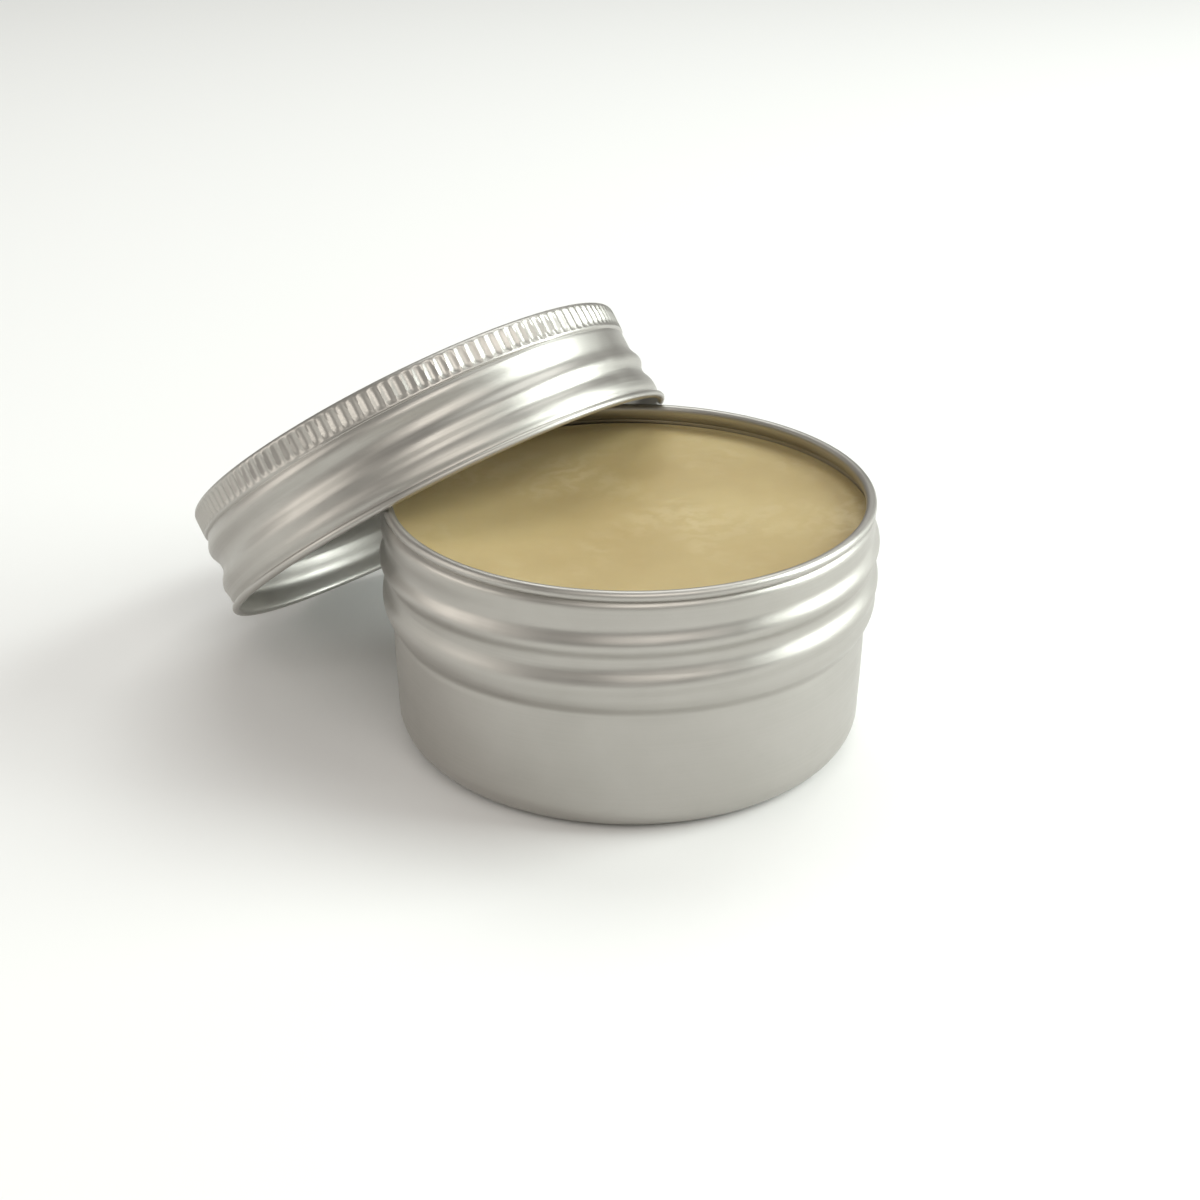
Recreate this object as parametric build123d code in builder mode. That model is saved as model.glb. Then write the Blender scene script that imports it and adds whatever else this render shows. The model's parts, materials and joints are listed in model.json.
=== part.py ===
from build123d import *
import math
import os

# ------------------------------------------------------------------ driving sizes (mm)
# overall
TIN_H = 34.4            # table to the top of the rolled rim
WALL_R = 31.7           # outside radius of the plain lower wall
LID_H = 15.6            # depth of the lid, hem to top
SHEET = 0.35            # aluminium sheet, everywhere

# tin body: steps out from the plain wall, and depths under the top of the rim
BASE_CORNER = 4.2       # drawn radius between floor and wall
SHOULDER_FOOT = 17.1    # depth at which the plain wall ends and the shoulder begins
SHOULDER_OUT = 1.25     # crest of the shoulder bead outside the plain wall
SHOULDER_DEPTH = 13.7   # depth of that crest
NECK_OUT = 0.7          # root of the neck, between threads, outside the plain wall
NECK_DEPTH = 11.2       # depth at which the shoulder has run into the neck
RIM_OUT = 0.1           # rolled rim outside the neck's root
RIM_ROLL = 0.7          # radius of the rolled rim's section
RIM_STEP = 1.6          # height over which the neck steps in under the rim
RIM_TUCK = 0.6          # how far it steps in

# thread, one start, right hand, on tin and lid alike
LEAD = 4.8
THREAD_W = 3.4          # foot of the rolled ridge
THREAD_H = 0.75         # height of the ridge on the tin
THREAD_FIT = 0.5        # radial clearance of the lid's thread over the tin's
TIN_THREAD_DEPTH = 10.8 # centre of the ridge where it starts, under the top of the rim
TIN_THREAD_AZ = -10.0   # where that is round the tin, degrees from +X
TIN_TURNS = 1.35
LID_THREAD_Z = 4.7      # centre of the lid's ridge where it starts, from the hem
LID_THREAD_AZ = 7.5     # where that is round the lid, degrees from its level line
LID_THREAD_END = 4.46   # where the ridge ends, under the lid's top
RUN_OUT = 20.0          # degrees over which the end of a ridge sinks away
ROOT_CUT = 0.2          # how deep a ridge is bedded in its wall

# lid: steps out from the root of its thread, and heights over its hem
HEM_ROLL = 0.5          # radius of the curled hem's section
HEM_OUT = 0.5           # outside of the hem beyond the skirt
SKIRT_OUT = 0.85        # plain skirt between hem and thread
SKIRT_Z = 3.0           # height at which the skirt starts to run in
ROOT_Z = 5.6            # the skirt has run into the thread's root here
KNURL_OUT = 0.25        # outside of the grip band
KNURL_BAND = 4.2        # the band's lower edge, under the lid's top
KNURL_STEP = 0.4        # height of the step up to the band
KNURL_N = 134
KNURL_DEPTH = 0.2
KNURL_WIDE = 0.85       # width of one flute
LID_CORNER = 0.9

# filling and sealing disc
WAX_DEPTH = 3.3         # level of the polish, under the top of the rim
WAX_GAP = 0.03          # polish to metal
LINER_T = 0.6
LINER_GAP = 0.15        # edge of the liner to the lid's inner wall

# the lid as it leans on the tin
LEAN_AZ = 138.0         # the way its axis leans
FOOT = 29.7             # plain wall to the lowest point of the lid's hem, along the table
REST_GAP = 0.12         # curled hem to rolled rim where the lid rests on it
LIFT = 0.25             # hem to table, so that the tin alone carries the weight

os.makedirs("parts", exist_ok=True)

# ------------------------------------------------------------------ worked-out sizes
wall_top = TIN_H - SHOULDER_FOOT
shoulder_r = WALL_R + SHOULDER_OUT
shoulder_z = TIN_H - SHOULDER_DEPTH
neck_r = WALL_R + NECK_OUT
neck_z = TIN_H - NECK_DEPTH
neck_in = neck_r - SHEET
rim_mid_r = neck_r + RIM_OUT - RIM_ROLL
rim_mid_z = TIN_H - RIM_ROLL
tuck_z = rim_mid_z - RIM_ROLL / 2
tuck_r = neck_r - RIM_TUCK
tin_thread_z = TIN_H - TIN_THREAD_DEPTH
wax_top = TIN_H - WAX_DEPTH
lid_root = neck_r + THREAD_FIT + SHEET
skirt_r = lid_root + SKIRT_OUT
knurl_r = lid_root + KNURL_OUT
knurl_z = LID_H - KNURL_BAND
lid_turns = (LID_H - LID_THREAD_END - LID_THREAD_Z) / LEAD
hem_mid_r = skirt_r + HEM_OUT - HEM_ROLL
panel_in = LID_H - SHEET
up_z = Vector(0, 0, 1)


def rest_gap(lean):
    """Nearest the curled hem comes to the rolled rim, with the hem's foot on the table."""
    across = WALL_R + FOOT - hem_mid_r * math.cos(lean)
    high = HEM_ROLL + LIFT + hem_mid_r * math.sin(lean)
    near = math.inf
    for step in range(721):
        turn = math.radians(step / 4)
        x = across + hem_mid_r * math.cos(turn) * math.cos(lean)
        y = hem_mid_r * math.sin(turn)
        z = high - hem_mid_r * math.cos(turn) * math.sin(lean)
        near = min(near, math.hypot(math.hypot(x, y) - rim_mid_r, z - rim_mid_z))
    return near - HEM_ROLL - RIM_ROLL


# the lid comes down on the rim from a steep lean until the two all but touch
lean = math.radians(80)
step_down = math.radians(2)
while step_down > math.radians(0.00001):
    if rest_gap(lean - step_down) > REST_GAP:
        lean -= step_down
    else:
        step_down /= 2

# where the leaning lid is: its hem centre, its own up and its section plane
lean_dir = Vector(1, 0, 0).rotate(Axis.Z, LEAN_AZ)
lid_up = lean_dir * math.sin(lean) + up_z * math.cos(lean)
lid_side = up_z.cross(lean_dir)
hem_ring = (lean_dir * (WALL_R + FOOT - hem_mid_r * math.cos(lean))
            + up_z * (HEM_ROLL + LIFT + hem_mid_r * math.sin(lean)))
lid_mid = hem_ring - lid_up * HEM_ROLL
lid_axis = Axis(lid_mid, lid_up)
lid_cut = Plane(origin=lid_mid, x_dir=lid_side, z_dir=lid_side.cross(lid_up))


def ridge_section(at, out, up, height, width, sunk):
    """Cross-section of a rolled ridge: a shallow arc bedded in the wall."""
    plane = Plane(origin=at - out * sunk, x_dir=out, z_dir=out.cross(up))
    with BuildSketch(plane, mode=Mode.PRIVATE) as section:
        with BuildLine():
            ThreePointArc((0, -width / 2), (height, 0), (0, width / 2))
            Polyline((0, width / 2), (-ROOT_CUT, width / 2), (-ROOT_CUT, -width / 2), (0, -width / 2))
        make_face()
    return section.sketch.face()


def ridge(base, up, start_dir, radius, height, width, z, turn, turns, mode):
    """One rolled thread ridge round the line from base along up, sinking away at both ends."""
    path = Helix(LEAD, LEAD * turns, radius, center=base + up * z, direction=up, mode=Mode.PRIVATE)
    begun = (path @ 0 - base - up * z).normalized()
    off = math.degrees(math.atan2(up.cross(start_dir).dot(begun), start_dir.dot(begun)))
    path = path.rotate(Axis(base, up), turn - off)
    spin = Axis((0, 0, 0), up)
    ends = []
    for at, way in ((path @ 0, -1), (path @ 1, 1)):
        high = (at - base).dot(up)
        out = (at - base - up * high).normalized()
        far_out = out.rotate(spin, RUN_OUT * way)
        far_at = base + up * (high + LEAD * RUN_OUT * way / 360) + far_out * radius
        near = ridge_section(at, out, up, height, width, 0)
        ends.append((near, ridge_section(far_at, far_out, up, height, width, height + ROOT_CUT / 2)))
    sweep(sections=ends[0][0], path=path, is_frenet=True, mode=mode)
    for near, far in ends:
        loft(sections=[near, far], ruled=True, mode=mode)


# ------------------------------------------------------------------ tin body
with BuildPart() as tin_body:
    # outside of the drawn can: floor, wall, shoulder bead, neck and the tuck under the rim
    with BuildSketch(Plane.XZ):
        with BuildLine():
            floor = Line((0, 0), (WALL_R - BASE_CORNER, 0))
            corner = TangentArc(floor @ 1, (WALL_R, BASE_CORNER), tangent=(1, 0))
            wall = Line(corner @ 1, (WALL_R, wall_top))
            bead = Spline(wall @ 1, (shoulder_r, shoulder_z), (neck_r, neck_z), tangents=((1, 1), (0, 1)))
            neck = Line(bead @ 1, (neck_r, rim_mid_z - RIM_STEP))
            tuck = Line(neck @ 1, (tuck_r, tuck_z))
            top = Line(tuck @ 1, (tuck_r, rim_mid_z))
            Polyline(top @ 1, (0, rim_mid_z), (0, 0))
        make_face()
    revolve(axis=Axis.Z)
    ridge(Vector(0, 0, 0), up_z, Vector(1, 0, 0), neck_r, THREAD_H, THREAD_W, tin_thread_z,
          TIN_THREAD_AZ, TIN_TURNS, Mode.ADD)
    # inside, one sheet thickness in, following the rolled thread
    with BuildSketch(Plane.XZ):
        with BuildLine():
            floor = Line((0, SHEET), (WALL_R - BASE_CORNER, SHEET))
            corner = TangentArc(floor @ 1, (WALL_R - SHEET, BASE_CORNER), tangent=(1, 0))
            wall = Line(corner @ 1, (WALL_R - SHEET, wall_top + SHEET / 2))
            bead = Spline(wall @ 1, (shoulder_r - SHEET, shoulder_z), (neck_in, neck_z),
                          tangents=((1, 1), (0, 1)))
            neck = Line(bead @ 1, (neck_in, rim_mid_z - RIM_STEP))
            tuck = Line(neck @ 1, (tuck_r - SHEET, tuck_z))
            top = Line(tuck @ 1, (tuck_r - SHEET, TIN_H))
            Polyline(top @ 1, (0, TIN_H), (0, SHEET))
        make_face()
    revolve(axis=Axis.Z, mode=Mode.SUBTRACT)
    ridge(Vector(0, 0, 0), up_z, Vector(1, 0, 0), neck_in, THREAD_H, THREAD_W - SHEET, tin_thread_z,
          TIN_THREAD_AZ, TIN_TURNS, Mode.SUBTRACT)
    # the rolled rim
    with BuildSketch(Plane.XZ):
        with Locations((rim_mid_r, rim_mid_z)):
            Circle(RIM_ROLL)
    revolve(axis=Axis.Z)
tin_body.part.label = "tin_body"

# ------------------------------------------------------------------ the cake of polish
with BuildPart() as polish_wax:
    # cast into the tin, so it takes the shape of the plain wall and floor
    with BuildSketch(Plane.XZ):
        with BuildLine():
            floor = Line((0, SHEET + WAX_GAP), (WALL_R - BASE_CORNER, SHEET + WAX_GAP))
            corner = TangentArc(floor @ 1, (WALL_R - SHEET - WAX_GAP, BASE_CORNER), tangent=(1, 0))
            wall = Line(corner @ 1, (WALL_R - SHEET - WAX_GAP, wall_top + SHEET))
            shoulder = Line(wall @ 1, (neck_in - WAX_GAP, shoulder_z))
            neck = Line(shoulder @ 1, (neck_in - WAX_GAP, wax_top))
            Polyline(neck @ 1, (0, wax_top), (0, SHEET + WAX_GAP))
        make_face()
    revolve(axis=Axis.Z)
polish_wax.part.label = "polish_wax"

# ------------------------------------------------------------------ lid shell, leaning
with BuildPart() as lid_shell:
    # outside of the drawn lid: skirt, thread root, step, grip band and flat top
    with BuildSketch(lid_cut):
        with BuildLine():
            hem = Line((0, HEM_ROLL), (hem_mid_r, HEM_ROLL))
            skirt = Polyline(hem @ 1, (skirt_r, HEM_ROLL * 2), (skirt_r, SKIRT_Z))
            root = Spline(skirt @ 1, (lid_root, ROOT_Z), tangents=((0, 1), (0, 1)))
            neck = Line(root @ 1, (lid_root, knurl_z - KNURL_STEP))
            step = Line(neck @ 1, (knurl_r, knurl_z))
            band = Line(step @ 1, (knurl_r, LID_H - LID_CORNER))
            corner = TangentArc(band @ 1, (knurl_r - LID_CORNER, LID_H), tangent=(0, 1))
            Polyline(corner @ 1, (0, LID_H), (0, HEM_ROLL))
        make_face()
    revolve(axis=lid_axis)
    ridge(lid_mid, lid_up, lid_side, lid_root, THREAD_H, THREAD_W, LID_THREAD_Z,
          LID_THREAD_AZ, lid_turns, Mode.ADD)
    # inside, one sheet thickness in
    with BuildSketch(lid_cut):
        with BuildLine():
            mouth = Line((0, 0), (skirt_r - SHEET, 0))
            skirt = Line(mouth @ 1, (skirt_r - SHEET, SKIRT_Z))
            root = Spline(skirt @ 1, (lid_root - SHEET, ROOT_Z), tangents=((0, 1), (0, 1)))
            neck = Line(root @ 1, (lid_root - SHEET, knurl_z))
            step = Line(neck @ 1, (knurl_r - SHEET, knurl_z + KNURL_STEP))
            band = Line(step @ 1, (knurl_r - SHEET, LID_H - LID_CORNER))
            corner = TangentArc(band @ 1, (knurl_r - LID_CORNER, panel_in), tangent=(0, 1))
            Polyline(corner @ 1, (0, panel_in), (0, 0))
        make_face()
    revolve(axis=lid_axis, mode=Mode.SUBTRACT)
    ridge(lid_mid, lid_up, lid_side, lid_root - SHEET, THREAD_H, THREAD_W - SHEET, LID_THREAD_Z,
          LID_THREAD_AZ, lid_turns, Mode.SUBTRACT)
    # the curled hem
    with BuildSketch(lid_cut):
        with Locations((hem_mid_r, HEM_ROLL)):
            Circle(HEM_ROLL)
    revolve(axis=lid_axis)
    # the grip band's flutes
    with BuildSketch(Plane(origin=lid_mid + lid_up * (knurl_z + KNURL_STEP), x_dir=lid_side, z_dir=lid_up)):
        with PolarLocations(knurl_r, KNURL_N):
            Rectangle(KNURL_DEPTH * 2, KNURL_WIDE)
    extrude(amount=LID_H - LID_CORNER - knurl_z - KNURL_STEP, mode=Mode.SUBTRACT)
lid_shell.part.label = "lid_shell"

# ------------------------------------------------------------------ sealing disc in the lid
with BuildPart() as lid_liner:
    with BuildSketch(Plane(origin=lid_mid + lid_up * (panel_in - LINER_T), x_dir=lid_side, z_dir=lid_up)):
        Circle(knurl_r - LID_CORNER - LINER_GAP)
    extrude(amount=LINER_T - WAX_GAP)
lid_liner.part.label = "lid_liner"

export_step(tin_body.part, "parts/tin_body.step")
export_step(polish_wax.part, "parts/polish_wax.step")
export_step(lid_shell.part, "parts/lid_shell.step")
export_step(lid_liner.part, "parts/lid_liner.step")
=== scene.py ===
import json
import math

import bmesh
import bpy
from mathutils import Matrix, Vector


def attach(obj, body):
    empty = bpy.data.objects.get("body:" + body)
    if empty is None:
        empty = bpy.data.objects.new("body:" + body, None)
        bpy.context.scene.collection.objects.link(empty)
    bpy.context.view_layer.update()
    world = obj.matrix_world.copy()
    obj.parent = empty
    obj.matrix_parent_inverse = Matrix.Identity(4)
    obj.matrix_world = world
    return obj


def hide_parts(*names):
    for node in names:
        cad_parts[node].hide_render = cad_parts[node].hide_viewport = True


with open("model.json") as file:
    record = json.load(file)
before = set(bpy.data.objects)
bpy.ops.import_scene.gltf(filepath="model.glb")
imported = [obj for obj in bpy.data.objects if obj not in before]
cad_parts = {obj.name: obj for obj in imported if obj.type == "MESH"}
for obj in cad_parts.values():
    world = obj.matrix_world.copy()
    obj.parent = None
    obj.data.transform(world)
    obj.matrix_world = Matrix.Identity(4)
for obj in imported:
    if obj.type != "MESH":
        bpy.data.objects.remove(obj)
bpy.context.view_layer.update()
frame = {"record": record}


# ---------------------------------------------------------------- tin body
# The can is one disc of soft aluminium drawn into a cup, then rolled: a shoulder bead,
# a single right-hand thread round the neck, and a rim curled outwards over a small tuck.
# The same sheet shows inside, so the mesh is a closed wall with the thread on both faces.
MM = Matrix.Scale(0.001, 4)     # a piece's own mesh is drawn in millimetres
UPRIGHT = Matrix.Identity(4)
SAME_POINT = 0.0005
TIN_STEPS = 400
BASE_CORNER = (27.0, 4.4)       # middle of the round corner: radius, height
NECK_OUT, NECK_IN = 32.4, 32.05
NECK_FOOT, NECK_TOP = 23.6, 32.0
LEAD = 4.8                      # climb of either thread in one turn
MOST_PASSES = 4                 # more times than a thread can pass one place
WALL_FROM = 25.0                # nearer the axis there is only the base or the top
ALUMINIUM = (0.480, 0.463, 0.435)


def bow(cr, cz, size, start, end, count):
    """Points on a round corner or roll of the sheet, angles in degrees."""
    span = [math.radians(start + (end - start) * k / count) for k in range(count + 1)]
    return [(cr + size * math.cos(a), cz + size * math.sin(a)) for a in span]


def flow(stations, spacing):
    """A smooth run through a few stations of (radius, height), closely spaced."""
    out = []
    for k in range(len(stations) - 1):
        p0 = stations[max(k - 1, 0)]
        p1, p2 = stations[k], stations[k + 1]
        p3 = stations[min(k + 2, len(stations) - 1)]
        count = max(1, round(math.dist(p1, p2) / spacing))
        for j in range(count):
            t = j / count
            out.append(tuple(
                0.5 * (2 * b + (c - a) * t + (2 * a - 5 * b + 4 * c - d) * t * t
                       + (3 * b - a - 3 * c + d) * t * t * t)
                for a, b, c, d in zip(p0, p1, p2, p3)))
    out.append(stations[-1])
    return out


def turned(outline, steps):
    """Spins an outline of (radius, height) once round the upright axis into a closed skin."""
    bm = bmesh.new()
    points = [bm.verts.new((r, 0, h)) for r, h in outline]
    edges = [bm.edges.new((a, b)) for a, b in zip(points, points[1:])]
    bmesh.ops.spin(bm, geom=points + edges, cent=(0, 0, 0), axis=(0, 0, 1), dvec=(0, 0, 0),
                   angle=2 * math.pi, steps=steps, use_merge=True, use_duplicate=False)
    bmesh.ops.remove_doubles(bm, verts=bm.verts, dist=SAME_POINT)
    bmesh.ops.recalc_face_normals(bm, faces=bm.faces)
    return bm


def ease(x):
    """Nought to one with a soft start and end."""
    x = min(max(x, 0.0), 1.0)
    return x * x * (3 - 2 * x)


def ridge(angle, height, start, start_height, turns, fade_in, fade_out, foot, tall):
    """How far a rolled thread stands out at this place; angles in degrees."""
    push = 0.0
    first = (angle - start + fade_in) % 360 - fade_in
    last = turns * 360 + fade_out
    for turn in range(MOST_PASSES):
        along = first + 360 * turn
        off = abs(height - start_height - LEAD * along / 360) / (foot / 2)
        if along <= last and off < 1:
            grow = ease((along + fade_in) / fade_in) * ease((last - along) / fade_out)
            push = max(push, tall * grow * (0.5 + 0.5 * math.cos(math.pi * off)))
    return push


def press(v, much):
    """Moves a point away from the axis by much(angle, height)."""
    r = math.hypot(v.co.x, v.co.y)
    grown = (r + much(math.degrees(math.atan2(v.co.y, v.co.x)), v.co.z)) / r
    v.co.x *= grown
    v.co.y *= grown


def roll_thread(bm, low, high, thread):
    """Rolls a thread into both faces of the wall between two heights."""
    for v in bm.verts:
        if low < v.co.z < high and math.hypot(v.co.x, v.co.y) > WALL_FROM:
            press(v, thread)


def finish_piece(name, bm, place, material, body, node, sharp=40):
    """Puts a mesh in its place, in metres, hands it over to its body and hides its CAD node."""
    bmesh.ops.transform(bm, matrix=place @ MM, verts=bm.verts)
    mesh = bpy.data.meshes.new(name)
    bm.to_mesh(mesh)
    bm.free()
    mesh.polygons.foreach_set("use_smooth", [True] * len(mesh.polygons))
    mesh.set_sharp_from_angle(angle=math.radians(sharp))
    mesh.materials.append(material)
    piece = bpy.data.objects.new(name, mesh)
    bpy.context.scene.collection.objects.link(piece)
    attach(piece, body)
    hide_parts(node)
    return piece


def put(tree, kind, values=()):
    """Adds a node to a finish and sets its fixed values, given as (socket, value)."""
    node = tree.nodes.new("ShaderNode" + kind)
    for socket, value in values:
        node.inputs[socket].default_value = value
    return node


def wire(tree, out_node, out_name, in_node, in_name):
    tree.links.new(out_node.outputs[out_name], in_node.inputs[in_name])


def new_finish(name, values):
    """A finish with one surface shader, whose fixed values are given."""
    material = bpy.data.materials.new(name)
    material.use_nodes = True
    tree = material.node_tree
    tree.nodes.clear()
    out = put(tree, "OutputMaterial")
    skin = put(tree, "BsdfPrincipled", values)
    wire(tree, skin, "BSDF", out, "Surface")
    return material, tree, skin


def two_tones(tree, source, levels, tones, skin_node, socket):
    """Colours a node from one tone to the other as the source rises between two levels."""
    ramp = put(tree, "ValToRGB")
    for stop, level, tone in zip(ramp.color_ramp.elements, levels, tones):
        stop.position = level
        stop.color = (*tone, 1)
    wire(tree, source, "Fac", ramp, "Fac")
    wire(tree, ramp, "Color", skin_node, socket)


def relief(tree, source, socket, strength, depth, below=None):
    """A layer of fine relief over the layer below it; depth in metres."""
    bump = put(tree, "Bump", [("Strength", strength), ("Distance", depth)])
    wire(tree, source, socket, bump, "Height")
    if below is not None:
        wire(tree, below, "Normal", bump, "Normal")
    return bump


def satin_aluminium(name, place, rub_turn):
    """Bare drawn aluminium: fine marks running round the wall, cloudy dulling and a few rubs."""
    material, tree, skin = new_finish(name, [("Metallic", 1.0)])

    # places on the piece's own axis, so the marks run round it
    where = put(tree, "TexCoord")
    back = place.inverted()
    own = put(tree, "Mapping", [("Location", back.to_translation()), ("Rotation", back.to_euler())])
    wire(tree, where, "Object", own, "Vector")
    split = put(tree, "SeparateXYZ")
    wire(tree, own, "Vector", split, "Vector")
    flat = put(tree, "CombineXYZ")
    wire(tree, split, "X", flat, "X")
    wire(tree, split, "Y", flat, "Y")
    reach = put(tree, "VectorMath")
    reach.operation = "LENGTH"
    wire(tree, flat, "Vector", reach, 0)
    rings = put(tree, "CombineXYZ")
    wire(tree, reach, "Value", rings, "X")
    wire(tree, split, "Z", rings, "Z")

    # drawn marks: very long round the piece, very short across, broken up here and there
    marks = put(tree, "TexNoise", [("Scale", 5200.0), ("Detail", 3.0)])
    wire(tree, rings, "Vector", marks, "Vector")
    broken = put(tree, "TexNoise", [("Scale", 160.0), ("Detail", 4.0)])
    wire(tree, own, "Vector", broken, "Vector")
    drag = put(tree, "Math")
    drag.operation = "MULTIPLY"
    wire(tree, marks, "Fac", drag, 0)
    wire(tree, broken, "Fac", drag, 1)

    # the grain of the sheet, about 0.15 mm, and slow clouds of dulling about 18 mm across
    grain = put(tree, "TexNoise", [("Scale", 6500.0), ("Detail", 2.0)])
    wire(tree, own, "Vector", grain, "Vector")
    cloud = put(tree, "TexNoise", [("Scale", 55.0), ("Detail", 5.0), ("Roughness", 0.6)])
    wire(tree, own, "Vector", cloud, "Vector")
    dulled = (ALUMINIUM[0] * 0.93, ALUMINIUM[1] * 0.93, ALUMINIUM[2] * 0.92)
    two_tones(tree, cloud, (0.3, 0.7), (dulled, ALUMINIUM), skin, "Base Color")
    dull = put(tree, "MapRange", [("From Min", 0.15), ("From Max", 0.4),
                                  ("To Min", 0.37), ("To Max", 0.50)])
    wire(tree, drag, "Value", dull, "Value")
    wire(tree, dull, "Result", skin, "Roughness")

    # rubs: thin stretched scratches that only some parts of the wall have
    rub_way = put(tree, "Mapping", [("Scale", (1.0, 1.0, 9.0)), ("Rotation", (rub_turn, 0.2, 0.9))])
    wire(tree, own, "Vector", rub_way, "Vector")
    rub = put(tree, "TexNoise", [("Scale", 420.0), ("Detail", 1.0), ("Distortion", 0.4)])
    wire(tree, rub_way, "Vector", rub, "Vector")
    thin = put(tree, "MapRange", [("From Min", 0.69), ("From Max", 0.73)])
    wire(tree, rub, "Fac", thin, "Value")

    clouded = relief(tree, cloud, "Fac", 0.25, 0.00004)
    marked = relief(tree, drag, "Value", 0.35, 0.000008, below=clouded)
    grained = relief(tree, grain, "Fac", 0.50, 0.000016, below=marked)
    rubbed = relief(tree, thin, "Result", 0.20, 0.000010, below=grained)
    rubbed.invert = True
    wire(tree, rubbed, "Normal", skin, "Normal")
    return material


tin_outside = (
    # base, raised a little inside its foot ring, and the round corner
    [(0.0, 0.25), (24.6, 0.25)]
    + flow([(24.6, 0.25), (25.2, 0.18), (25.8, 0.02), (26.4, 0.0)], 0.25)[1:]
    + flow([(26.4, 0.0), (27.0, 0.0)], 0.5)[1:]
    + bow(*BASE_CORNER, 4.4, -90, -8, 14)[1:]
    # plain wall, which widens a little upwards, and the shoulder bead
    + flow([(31.36, 3.8), (31.44, 6.0), (31.58, 10.0), (31.68, 14.0), (31.7, 16.8)], 0.8)[1:]
    + flow([(31.7, 16.8), (31.66, 17.4), (31.95, 18.0), (32.5, 18.9), (32.86, 19.9),
            (32.95, 20.9), (32.82, 21.9), (32.55, 22.8), (NECK_OUT, NECK_FOOT)], 0.28)[1:]
    # neck, tuck and rolled rim
    + flow([(NECK_OUT, NECK_FOOT), (NECK_OUT, NECK_TOP)], 0.24)[1:]
    + flow([(NECK_OUT, NECK_TOP), (32.3, 32.5), (32.02, 32.85), (31.85, 33.0)], 0.22)[1:]
    + bow(31.8, 33.7, 0.7, -84, 172, 20)[1:]
)
tin_inside = (
    flow([(31.1, 33.55), (31.25, 32.9), (31.7, 32.2), (NECK_IN, 31.9)], 0.3)
    + flow([(NECK_IN, 31.9), (NECK_IN, NECK_FOOT)], 0.3)[1:]
    + flow([(NECK_IN, NECK_FOOT), (32.2, 22.8), (32.6, 20.9), (32.15, 18.9), (31.35, 17.2),
            (31.35, 16.4)], 0.5)[1:]
    + flow([(31.35, 16.4), (31.2, 8.0), (31.0, 4.4)], 1.2)[1:]
    + bow(*BASE_CORNER, 4.05, 0, -90, 8)[1:]
    + [(12.0, 0.4), (0.0, 0.4)]
)


def tin_thread(angle, height):
    return ridge(angle, height, start=-60.0, start_height=22.93, turns=1.49,
                 fade_in=90.0, fade_out=170.0, foot=4.3, tall=0.75)


tin_skin = turned(tin_outside + tin_inside, TIN_STEPS)
roll_thread(tin_skin, 19.0, 32.6, tin_thread)
tin_metal = satin_aluminium("tin satin aluminium", UPRIGHT, rub_turn=0.3)
finish_piece("tin_can", tin_skin, UPRIGHT, tin_metal, "tin", "tin_body")


# ---------------------------------------------------------------- cake of polish
# A hard wax cake poured warm into the tin: it climbs a little where it meets the metal,
# has set with faint curved flow marks, and is pale tan with a soft, greasy shine.
WAX_TOP = 31.1
WAX_SIDE = 31.98                # radius where it meets the neck
WAX_FLAT = 30.2                 # radius where it starts to climb
WAX_RING = 0.7                  # spacing of the rings that carry the surface's waves
WAX_STEPS = 200
FLOW_X, FLOW_Y = 6, 4           # where the ripples start
DIP_X, DIP_Y = -10, -4          # middle of the shallow dip

wax_outline = (
    [(0.0, 0.45), (26.6, 0.45)]
    + bow(*BASE_CORNER, 3.95, -86, 0, 6)
    + [(31.15, 10.0), (31.28, 16.6), (31.95, 20.0)]
    + [(WAX_SIDE, 24.0), (WAX_SIDE, 28.0), (WAX_SIDE, 31.0)]
    + flow([(WAX_SIDE, 31.38), (31.7, 31.22), (31.2, 31.12), (WAX_FLAT, WAX_TOP)], 0.25)
    + [(WAX_FLAT - WAX_RING * k, WAX_TOP) for k in range(1, 43)]
    + [(0.0, WAX_TOP)]
)
wax_cake = turned(wax_outline, WAX_STEPS)
for v in wax_cake.verts:
    if v.co.z > 31.0:
        x, y = v.co.x, v.co.y
        away = math.hypot(x - FLOW_X, y - FLOW_Y)
        way = math.atan2(y - FLOW_Y, x - FLOW_X)
        ripple = 0.05 * math.sin(0.55 * away + 1.3 * way) * math.exp(-away / 14)
        heave = 0.04 * math.sin(0.19 * x + 1.1) * math.cos(0.16 * y - 0.4)
        dip = 0.06 * math.exp(-((x - DIP_X) ** 2 + (y - DIP_Y) ** 2) / 60)
        v.co.z += ease((31.6 - math.hypot(x, y)) / 3) * (ripple + heave - dip)

wax, wax_tree, wax_skin = new_finish("pale polish wax", [
    ("Subsurface Weight", 0.25), ("Subsurface Radius", (1.0, 0.62, 0.28)),
    ("Subsurface Scale", 0.002), ("Specular IOR Level", 0.45)])
wax_where = put(wax_tree, "TexCoord")
wax_mid = put(wax_tree, "Mapping", [("Location", (-0.007, -0.004, -0.0311))])
wire(wax_tree, wax_where, "Object", wax_mid, "Vector")

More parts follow.
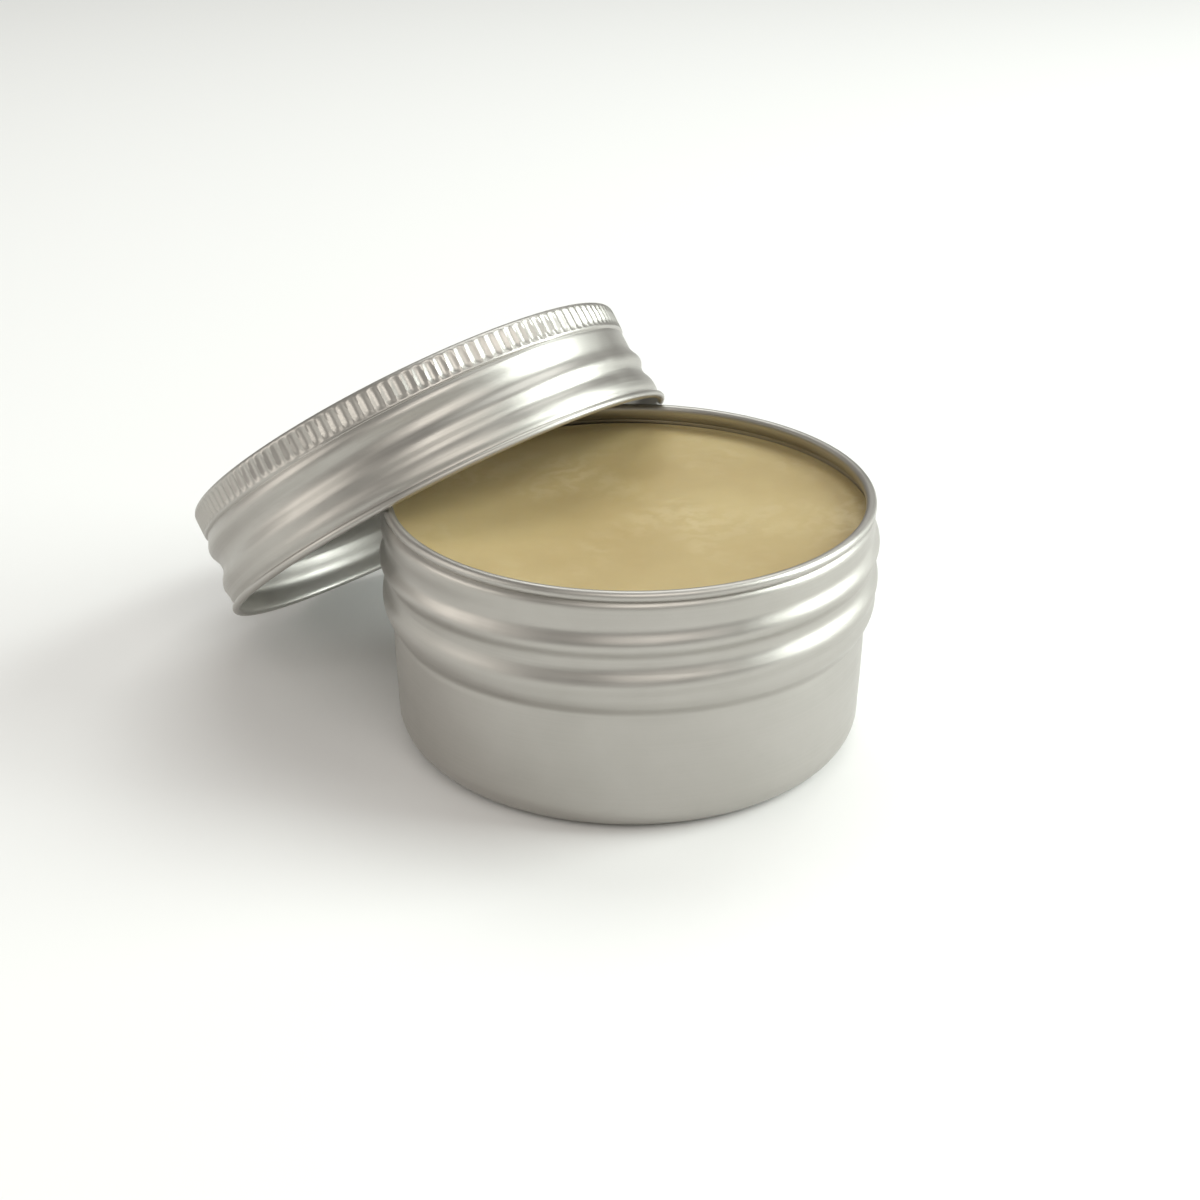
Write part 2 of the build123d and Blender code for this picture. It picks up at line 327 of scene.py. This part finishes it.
# curved flow marks round a point off the middle, in patches
swirl = put(wax_tree, "TexWave", [
    ("Scale", 90.0), ("Distortion", 12.0), ("Detail", 4.0),
    ("Detail Scale", 1.6), ("Detail Roughness", 0.62)])
swirl.wave_type = "RINGS"
swirl.rings_direction = "Z"
wire(wax_tree, wax_mid, "Vector", swirl, "Vector")
swirl_patch = put(wax_tree, "TexNoise", [("Scale", 60.0), ("Detail", 3.0)])
wire(wax_tree, wax_mid, "Vector", swirl_patch, "Vector")
swirl_keep = put(wax_tree, "MapRange", [("From Min", 0.48), ("From Max", 0.70)])
wire(wax_tree, swirl_patch, "Fac", swirl_keep, "Value")
swirl_part = put(wax_tree, "Math")
swirl_part.operation = "MULTIPLY"
wire(wax_tree, swirl, "Fac", swirl_part, 0)
wire(wax_tree, swirl_keep, "Result", swirl_part, 1)

# cloudy tan, paler by half as much as the flow marks are strong
wax_cloud = put(wax_tree, "TexNoise", [("Scale", 42.0), ("Detail", 6.0), ("Roughness", 0.62)])
wire(wax_tree, wax_where, "Object", wax_cloud, "Vector")
MIX_SHARE, MIX_UNDER, MIX_OVER, MIX_COLOUR = 0, 6, 7, 2     # colour sockets of a Mix node
wax_pale = put(wax_tree, "Mix", [(MIX_OVER, (0.60, 0.50, 0.29, 1))])
wax_pale.data_type = "RGBA"
two_tones(wax_tree, wax_cloud, (0.32, 0.68),
          ((0.430, 0.325, 0.150), (0.510, 0.405, 0.200)), wax_pale, MIX_UNDER)
wax_much = put(wax_tree, "Math", [(1, 0.50)])
wax_much.operation = "MULTIPLY"
wire(wax_tree, swirl_part, "Value", wax_much, 0)
wire(wax_tree, wax_much, "Value", wax_pale, MIX_SHARE)
wire(wax_tree, wax_pale, MIX_COLOUR, wax_skin, "Base Color")

# greasy shine, and the relief of the marks, the clouds and a fine grain
wax_gloss = put(wax_tree, "MapRange", [("From Min", 0.3), ("From Max", 0.7),
                                       ("To Min", 0.38), ("To Max", 0.55)])
wire(wax_tree, wax_cloud, "Fac", wax_gloss, "Value")
wire(wax_tree, wax_gloss, "Result", wax_skin, "Roughness")
wax_fine = put(wax_tree, "TexNoise", [("Scale", 1100.0), ("Detail", 4.0)])
wire(wax_tree, wax_where, "Object", wax_fine, "Vector")
swirled = relief(wax_tree, swirl_part, "Value", 0.20, 0.00005)
wavy = relief(wax_tree, wax_cloud, "Fac", 0.30, 0.00020, below=swirled)
grainy = relief(wax_tree, wax_fine, "Fac", 0.35, 0.00004, below=wavy)
wire(wax_tree, grainy, "Normal", wax_skin, "Normal")
finish_piece("polish_cake", wax_cake, UPRIGHT, wax, "tin", "polish_wax", sharp=60)


# ---------------------------------------------------------------- lid
# Drawn from the same sheet: a flat top, a band of pressed upright flutes to grip, the
# rolled thread, a plain skirt and a hem curled outwards. It lies loose, leaning on the tin.
turn_joint = next(j for j in frame["record"]["behaviour"]["joints"] if j["name"] == "lid_turn")
lid_up = Vector(turn_joint["axis"]).normalized()
lid_side = Vector((0, 0, 1)).cross(lid_up).normalized()
lid_lean = Matrix((lid_side, lid_up.cross(lid_side), lid_up)).transposed().to_4x4()
LEANING = Matrix.Translation(Vector(turn_joint["pos_m"])) @ lid_lean
LID_TOP, LID_CEILING = 15.6, 15.25
BAND_R = 33.5                   # over the flutes
ROOT_OUT, ROOT_IN = 33.25, 32.9     # wall that the thread is rolled into
ROOT_FOOT, ROOT_TOP = 5.6, 11.0
FLUTES = 134
FLUTE_DEPTH = 0.26
FLUTE_FOOT, FLUTE_HEAD = 11.75, 15.25
LID_STEPS = FLUTES * 6

lid_outside = (
    # flat top and its corner, band, line groove, thread wall, skirt and hem
    [(r, LID_TOP) for r in (0.0, 14.0, 26.0, 31.0)]
    + bow(32.5, 14.6, 1.0, 90, 4, 9)
    + flow([(BAND_R, 14.55), (BAND_R, 11.9)], 0.45)[1:]
    + flow([(BAND_R, 11.9), (33.46, 11.6), (33.2, 11.35), (ROOT_OUT, ROOT_TOP)], 0.2)[1:]
    + flow([(ROOT_OUT, ROOT_TOP), (ROOT_OUT, ROOT_FOOT)], 0.34)[1:]
    + flow([(ROOT_OUT, ROOT_FOOT), (33.5, 4.6), (33.95, 3.5), (34.12, 2.6), (34.1, 1.9),
            (33.92, 1.45), (33.9, 1.12)], 0.3)[1:]
    + bow(34.05, 0.55, 0.55, 105, -180, 14)
)
lid_inside = (
    flow([(33.52, 0.9), (33.6, 1.5), (33.75, 2.6), (33.6, 3.5), (33.15, 4.6),
          (ROOT_IN, ROOT_FOOT)], 0.4)
    + flow([(ROOT_IN, ROOT_FOOT), (ROOT_IN, ROOT_TOP)], 0.36)[1:]
    + flow([(ROOT_IN, ROOT_TOP), (32.95, 11.5), (33.15, 11.9)], 0.4)[1:]
    + [(33.15, 13.2), (33.15, 14.5), (33.05, 14.95), (32.7, 15.2)]
    + [(r, LID_CEILING) for r in (32.3, 20.0, 0.0)]
)


def lid_thread(angle, height):
    return ridge(angle, height, start=-40.0, start_height=4.4, turns=1.25,
                 fade_in=60.0, fade_out=60.0, foot=4.2, tall=0.68)


def flute(angle, height):
    """Pressed flutes: narrow rounded ribs between wider flat-bottomed hollows."""
    wave = 0.5 + 0.5 * math.cos(math.radians(angle) * FLUTES)
    hollow = 1 - wave ** 1.6
    return (-FLUTE_DEPTH * hollow
            * ease((height - FLUTE_FOOT) / 0.45) * ease((FLUTE_HEAD - height) / 0.7))


lid_skin = turned(lid_outside + lid_inside, LID_STEPS)
roll_thread(lid_skin, 1.6, 11.6, lid_thread)
for v in lid_skin.verts:
    # only the outer face is fluted, and it draws in along the top corner
    outer = max(32.9, 33.16 - 0.3 * ease((v.co.z - 14.5) / 0.6))
    if 11.6 < v.co.z < 15.3 and math.hypot(v.co.x, v.co.y) > outer:
        press(v, flute)
lid_metal = satin_aluminium("lid satin aluminium", LEANING, rub_turn=1.0)
finish_piece("lid_shell_sheet", lid_skin, LEANING, lid_metal, "lid", "lid_shell")


# ---------------------------------------------------------------- sealing disc
# A thin disc of white closed-cell foam pushed into the lid against its flat top, marked
# with the ring that the tin's rim has pressed into it. Only friction holds it.
DISC_BACK, DISC_FACE = 15.22, 14.65
DISC_STEPS = 180

disc_outline = (
    [(0.0, DISC_BACK), (31.5, DISC_BACK)]
    + bow(32.15, 15.0, 0.2, 80, -60, 5)
    + flow([(32.2, 14.74), (32.1, 14.67), (31.95, 14.66), (31.8, 14.84), (31.4, 14.9),
            (31.0, 14.84), (30.7, 14.68), (30.3, DISC_FACE)], 0.12)
    + [(r, DISC_FACE) for r in (29.0, 26.0, 22.0, 17.0, 12.0, 6.0, 0.0)]
)
disc = turned(disc_outline, DISC_STEPS)

foam, foam_tree, foam_skin = new_finish("white liner foam", [
    ("Roughness", 0.75), ("Specular IOR Level", 0.3)])
foam_where = put(foam_tree, "TexCoord")
foam_tone = put(foam_tree, "TexNoise", [("Scale", 160.0), ("Detail", 4.0)])
wire(foam_tree, foam_where, "Object", foam_tone, "Vector")
two_tones(foam_tree, foam_tone, (0.35, 0.7),
          ((0.745, 0.742, 0.722), (0.80, 0.80, 0.78)), foam_skin, "Base Color")
cells = put(foam_tree, "TexVoronoi", [("Scale", 2600.0)])
wire(foam_tree, foam_where, "Object", cells, "Vector")
celled = relief(foam_tree, cells, "Distance", 0.45, 0.00006)
wire(foam_tree, celled, "Normal", foam_skin, "Normal")
finish_piece("sealing_disc", disc, LEANING, foam, "liner", "lid_liner", sharp=50)


# ---------------------------------------------------------------- table, light and camera
# A plain pale table with a wide soft window at the right, weaker ones above the back, above
# the front and at the left, and the eye a little above the tin, as it stands on a desk.
table = bmesh.new()
bmesh.ops.create_circle(table, cap_ends=True, segments=96, radius=3.0)
table_mesh = bpy.data.meshes.new("table_top")
table.to_mesh(table_mesh)
table.free()
floor = bpy.data.objects.new("table_top", table_mesh)
floor_paint = bpy.data.materials.new("pale table")
floor_paint.use_nodes = True
floor_skin = floor_paint.node_tree.nodes["Principled BSDF"]
floor_skin.inputs["Base Color"].default_value = (0.86, 0.86, 0.855, 1)
floor_skin.inputs["Roughness"].default_value = 0.7
table_mesh.materials.append(floor_paint)
bpy.context.scene.collection.objects.link(floor)

TIN_MIDDLE = Vector((0, 0, 0.02))
COOL_WHITE = (0.93, 1.0, 0.97)
CLEAR_WHITE = (0.97, 1.0, 0.98)
WARM_WHITE = (1.0, 0.96, 0.90)


def soft_light(name, spot, size, power, colour):
    """A wide lamp that faces the tin."""
    lamp = bpy.data.lights.new(name, "AREA")
    lamp.shape = "RECTANGLE"
    lamp.size, lamp.size_y = size
    lamp.energy = power
    lamp.color = colour
    stand = bpy.data.objects.new(name, lamp)
    stand.location = spot
    stand.rotation_euler = (TIN_MIDDLE - Vector(spot)).to_track_quat("-Z", "Y").to_euler()
    bpy.context.scene.collection.objects.link(stand)


soft_light("window_right", (0.80, 0.05, 0.42), (0.6, 0.7), 9.0, COOL_WHITE)
soft_light("top_soft", (0.05, 0.45, 0.85), (0.7, 0.5), 3.2, CLEAR_WHITE)
soft_light("front_high", (0.20, -0.9, 0.9), (0.9, 0.6), 4.6, WARM_WHITE)
soft_light("left_wall", (-0.85, -0.15, 0.30), (0.7, 0.5), 1.8, WARM_WHITE)

world = bpy.data.worlds.new("pale room")
world.use_nodes = True
room = world.node_tree.nodes["Background"]
room.inputs["Color"].default_value = (1.0, 0.97, 0.925, 1)
room.inputs["Strength"].default_value = 0.34
bpy.context.scene.world = world
bpy.context.scene.view_settings.view_transform = "Standard"

VIEW_ANGLE = 32.24              # degrees across the view
LOOKING = Vector((-0.0137, 0.90141, -0.43274))

eye = bpy.data.cameras.new("eye")
eye.sensor_width = 36.0
eye.lens = 18.0 / math.tan(math.radians(VIEW_ANGLE) / 2)
eye.clip_start = 0.01
camera = bpy.data.objects.new("eye", eye)
camera.location = (0.0, -0.25311, 0.13948)
camera.rotation_euler = LOOKING.to_track_quat("-Z", "Y").to_euler()
bpy.context.scene.collection.objects.link(camera)
bpy.context.scene.camera = camera
